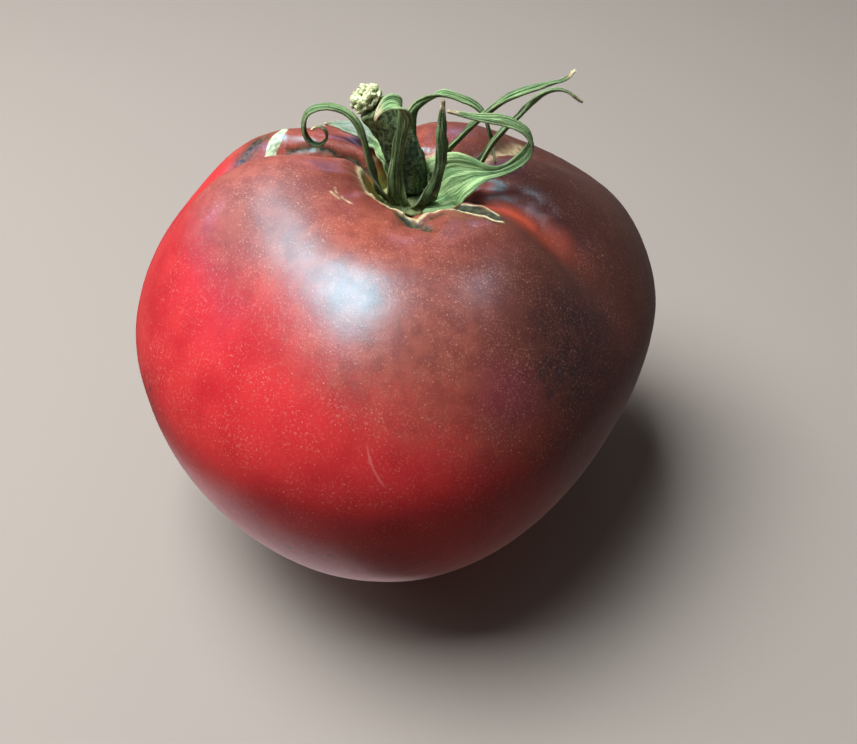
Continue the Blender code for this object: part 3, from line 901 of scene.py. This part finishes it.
# %% Grow the hairs
# The two steps are large primes, so that the roots spread over the whole blade, and differently on each.
HAIRS_PER_BLADE = 34
ROOT_STEP, BLADE_STEP = 7919, 131
HAIR_RADIUS = 0.035 * MM
roots = []
for number, blade in enumerate(blades):
    points = blade.data.vertices
    roots += [points[(k * ROOT_STEP + number * BLADE_STEP) % len(points)] for k in range(HAIRS_PER_BLADE)]


def hair_place(k):
    chance = noise.noise_vector(Vector((k * 1.9, 5.3, 2.2)))
    half_length = (0.3 + 0.35 * abs(chance.x)) * MM
    slim = Matrix.Diagonal((HAIR_RADIUS, HAIR_RADIUS, half_length, 1))
    return Matrix.Translation(roots[k].co) @ leaning(roots[k].normal + chance) @ slim


bpy.ops.object.select_all(action="DESELECT")
bpy.ops.mesh.primitive_cone_add(vertices=5, radius1=1, radius2=0.2, depth=2)
hairs = copies(bpy.context.object, "hairs", len(roots), hair_place)
print("hairs:", len(roots))

# %% Finish the hairs
hair_pale = Finish("pale_hair", IOR=1.4)
tuft = hair_pale.noise(0.5, 2)
hair_colour = hair_pale.mix(tuft.between(0.4, 0.6), linear(176, 188, 150), linear(226, 230, 204))
hair_pale.feed(Base_Color=hair_colour, Roughness=0.6 + tuft * 0.2)
hairs.data.materials.append(hair_pale.material)
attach(hairs, "root")
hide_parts("calyx")
print("hair finish:", len(hair_pale.tree.nodes), "nodes")

# %% [markdown]
# ## The stub of the stalk
# The stub is a thick green stalk with soft ribs, snapped at the joint where it left the vine. A cone could be bent
# to shape, but the solid stub leans and thickens already, so a copy of that is rounded, and its surface is lifted
# in ribs and lumps.

# %% Round the stub and lift its ribs
RIB, LUMP = 0.22, 0.12


def push_out(piece, height):
    """Moves each point along its normal by height(x, y, z), in millimetres."""
    normals = [v.normal.copy() for v in piece.data.vertices]
    for vertex, normal in zip(piece.data.vertices, normals):
        vertex.co += normal * (height(*(vertex.co / MM)) * MM)
    piece.data.update()


def stub_height(x, y, z):
    rib = noise.noise(Vector((x * 0.9, y * 0.9, z * 0.12)))
    return RIB * rib + LUMP * noise.noise(Vector((x, y, z)) * 1.1)


stub = merged_copy("stem", "stub")
round_off(stub, 2)
bpy.ops.object.shade_smooth()
push_out(stub, stub_height)
print("stub:", len(stub.data.polygons), "faces")

# %% [markdown]
# ## The finish of the stub
# The stub is a mottled green, paler at its top, with dark blotches between pale dots where hairs broke off. Its
# streaks run up the stalk, so the noise for them is stretched in height. The pattern could follow a UV map, but
# the stub is nearly upright, and its own coordinates need no map.

# %% Mix the green of the stub
stalk = Finish("stalk_green", IOR=1.42)
x, y, z = stalk.axes()
streaks = stalk.noise(0.9, 3, stalk.stretch(stalk.place, (1, 1, 0.16)))
spots = stalk.noise(1.6, 4)
stalk_dots = (1 - stalk.dots(1.8).between(0.1, 0.22)) * 0.55
stalk_colour = stalk.shades(streaks, linear(54, 74, 46), linear(108, 130, 86))
stalk_colour = stalk.mix(z.between(80, 87) * 0.6, stalk_colour, linear(128, 150, 98))
stalk_colour = stalk.mix(spots.between(0.48, 0.58) * 0.75, stalk_colour, linear(22, 30, 20))
stalk_colour = stalk.mix(stalk_dots, stalk_colour, linear(178, 178, 124))
stalk_bump = stalk.bump(streaks * 0.8 + spots * 0.4 + stalk_dots, 0.0003, 0.8)
stalk.feed(Base_Color=stalk_colour, Roughness=0.6 + spots * 0.2, Normal=stalk_bump)
stub.data.materials.append(stalk.material)
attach(stub, "root")
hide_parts("stem")
print("stub finish:", len(stalk.tree.nodes), "nodes")

# %% [markdown]
# ## The torn end
# Where the stalk snapped, dry pith stands up in pale crumbs with a few fibres. Sculpting could do it, but a lump
# that is modelled once and set down many times, each time in another size and turn, is quicker. The solid gives
# the rough round below them. The crumbs lie in a sunflower's spiral, which spreads them evenly.

# %% Roughen the end
def pith_height(x, y, z):
    return 0.35 * noise.noise(Vector((x, y, z)) * 1.3) + 0.15 * noise.noise(Vector((x, y, z)) * 3.5)


pith = merged_copy("stem_break", "torn_end")
round_off(pith, 2)
bpy.ops.object.shade_smooth()
push_out(pith, pith_height)
print("torn end:", len(pith.data.polygons), "faces")

# %% Set crumbs on the end
END = Vector((-2.5, 0, 88.2)) * MM
END_AXIS = Vector((-0.588, 0, 0.809))
END_RIGHT = Vector((0.809, 0, 0.588))
GOLDEN_ANGLE = math.radians(137.5)
CRUMBS = 46
CRUMB_REACH = 2.5


def on_end(k, out):
    """The place of number k on the torn end, this far from its middle, in millimetres."""
    return (math.cos(k * GOLDEN_ANGLE) * END_RIGHT + Vector((0, math.sin(k * GOLDEN_ANGLE), 0))) * out


def crumb_place(k):
    out = CRUMB_REACH * math.sqrt((k + 0.5) / CRUMBS)
    chance = noise.noise_vector(Vector((k * 1.7, 3.1, 0.4)))
    dome = 2.0 + 0.9 * (1 - (out / 2.6) ** 2) + chance.x * 0.8
    at = END + (on_end(k, out) + END_AXIS * dome) * MM
    size = (0.42 + 0.3 * abs(chance.y)) * MM
    turn = Euler((k, 2 * k, 3 * k)).to_matrix().to_4x4()
    return Matrix.Translation(at) @ turn @ Matrix.Diagonal((size, size * 0.8, size * 1.2, 1))


bpy.ops.object.select_all(action="DESELECT")
bpy.ops.mesh.primitive_ico_sphere_add(subdivisions=2, radius=1)
lump = bpy.context.object
for vertex in lump.data.vertices:
    vertex.co *= 1 + 0.5 * noise.noise(vertex.co * 1.6)
crumbs = copies(lump, "crumbs", CRUMBS, crumb_place)
print("crumbs:", CRUMBS)

# %% Set fibres on the end
FIBRES = 9
FIBRE_RADIUS = 0.09 * MM


def fibre_place(k):
    chance = noise.noise_vector(Vector((k * 2.3, 1.1, 7.4)))
    level = on_end(k, 1.2 + chance.x)
    half_length = (0.8 + 0.5 * abs(chance.z)) * MM
    slim = Matrix.Diagonal((FIBRE_RADIUS, FIBRE_RADIUS, half_length, 1))
    at = END + (level + END_AXIS * 2.6) * MM
    return Matrix.Translation(at) @ leaning(END_AXIS + level * 0.2 + chance * 0.5) @ slim


bpy.ops.object.select_all(action="DESELECT")
bpy.ops.mesh.primitive_cone_add(vertices=6, radius1=1, radius2=0.2, depth=2)
fibres = copies(bpy.context.object, "fibres", FIBRES, fibre_place)
print("fibres:", FIBRES)

# %% Finish the torn end
crumb = Finish("torn_pith", IOR=1.4)
crumbling = crumb.noise(1.2, 4)
crumb_colour = crumb.shades(crumbling, linear(158, 160, 108), linear(228, 248, 204))
crumb_bump = crumb.bump(crumb.noise(3.0, 4), 0.0004, 1.0)
crumb.feed(Base_Color=crumb_colour, Roughness=0.85 + crumbling * 0.1, Normal=crumb_bump)
for piece in (pith, crumbs, fibres):
    piece.data.materials.append(crumb.material)
    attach(piece, "root")
    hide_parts("stem_break")
print("torn end:", sum(len(o.data.polygons) for o in (pith, crumbs, fibres)), "faces")

# %% [markdown]
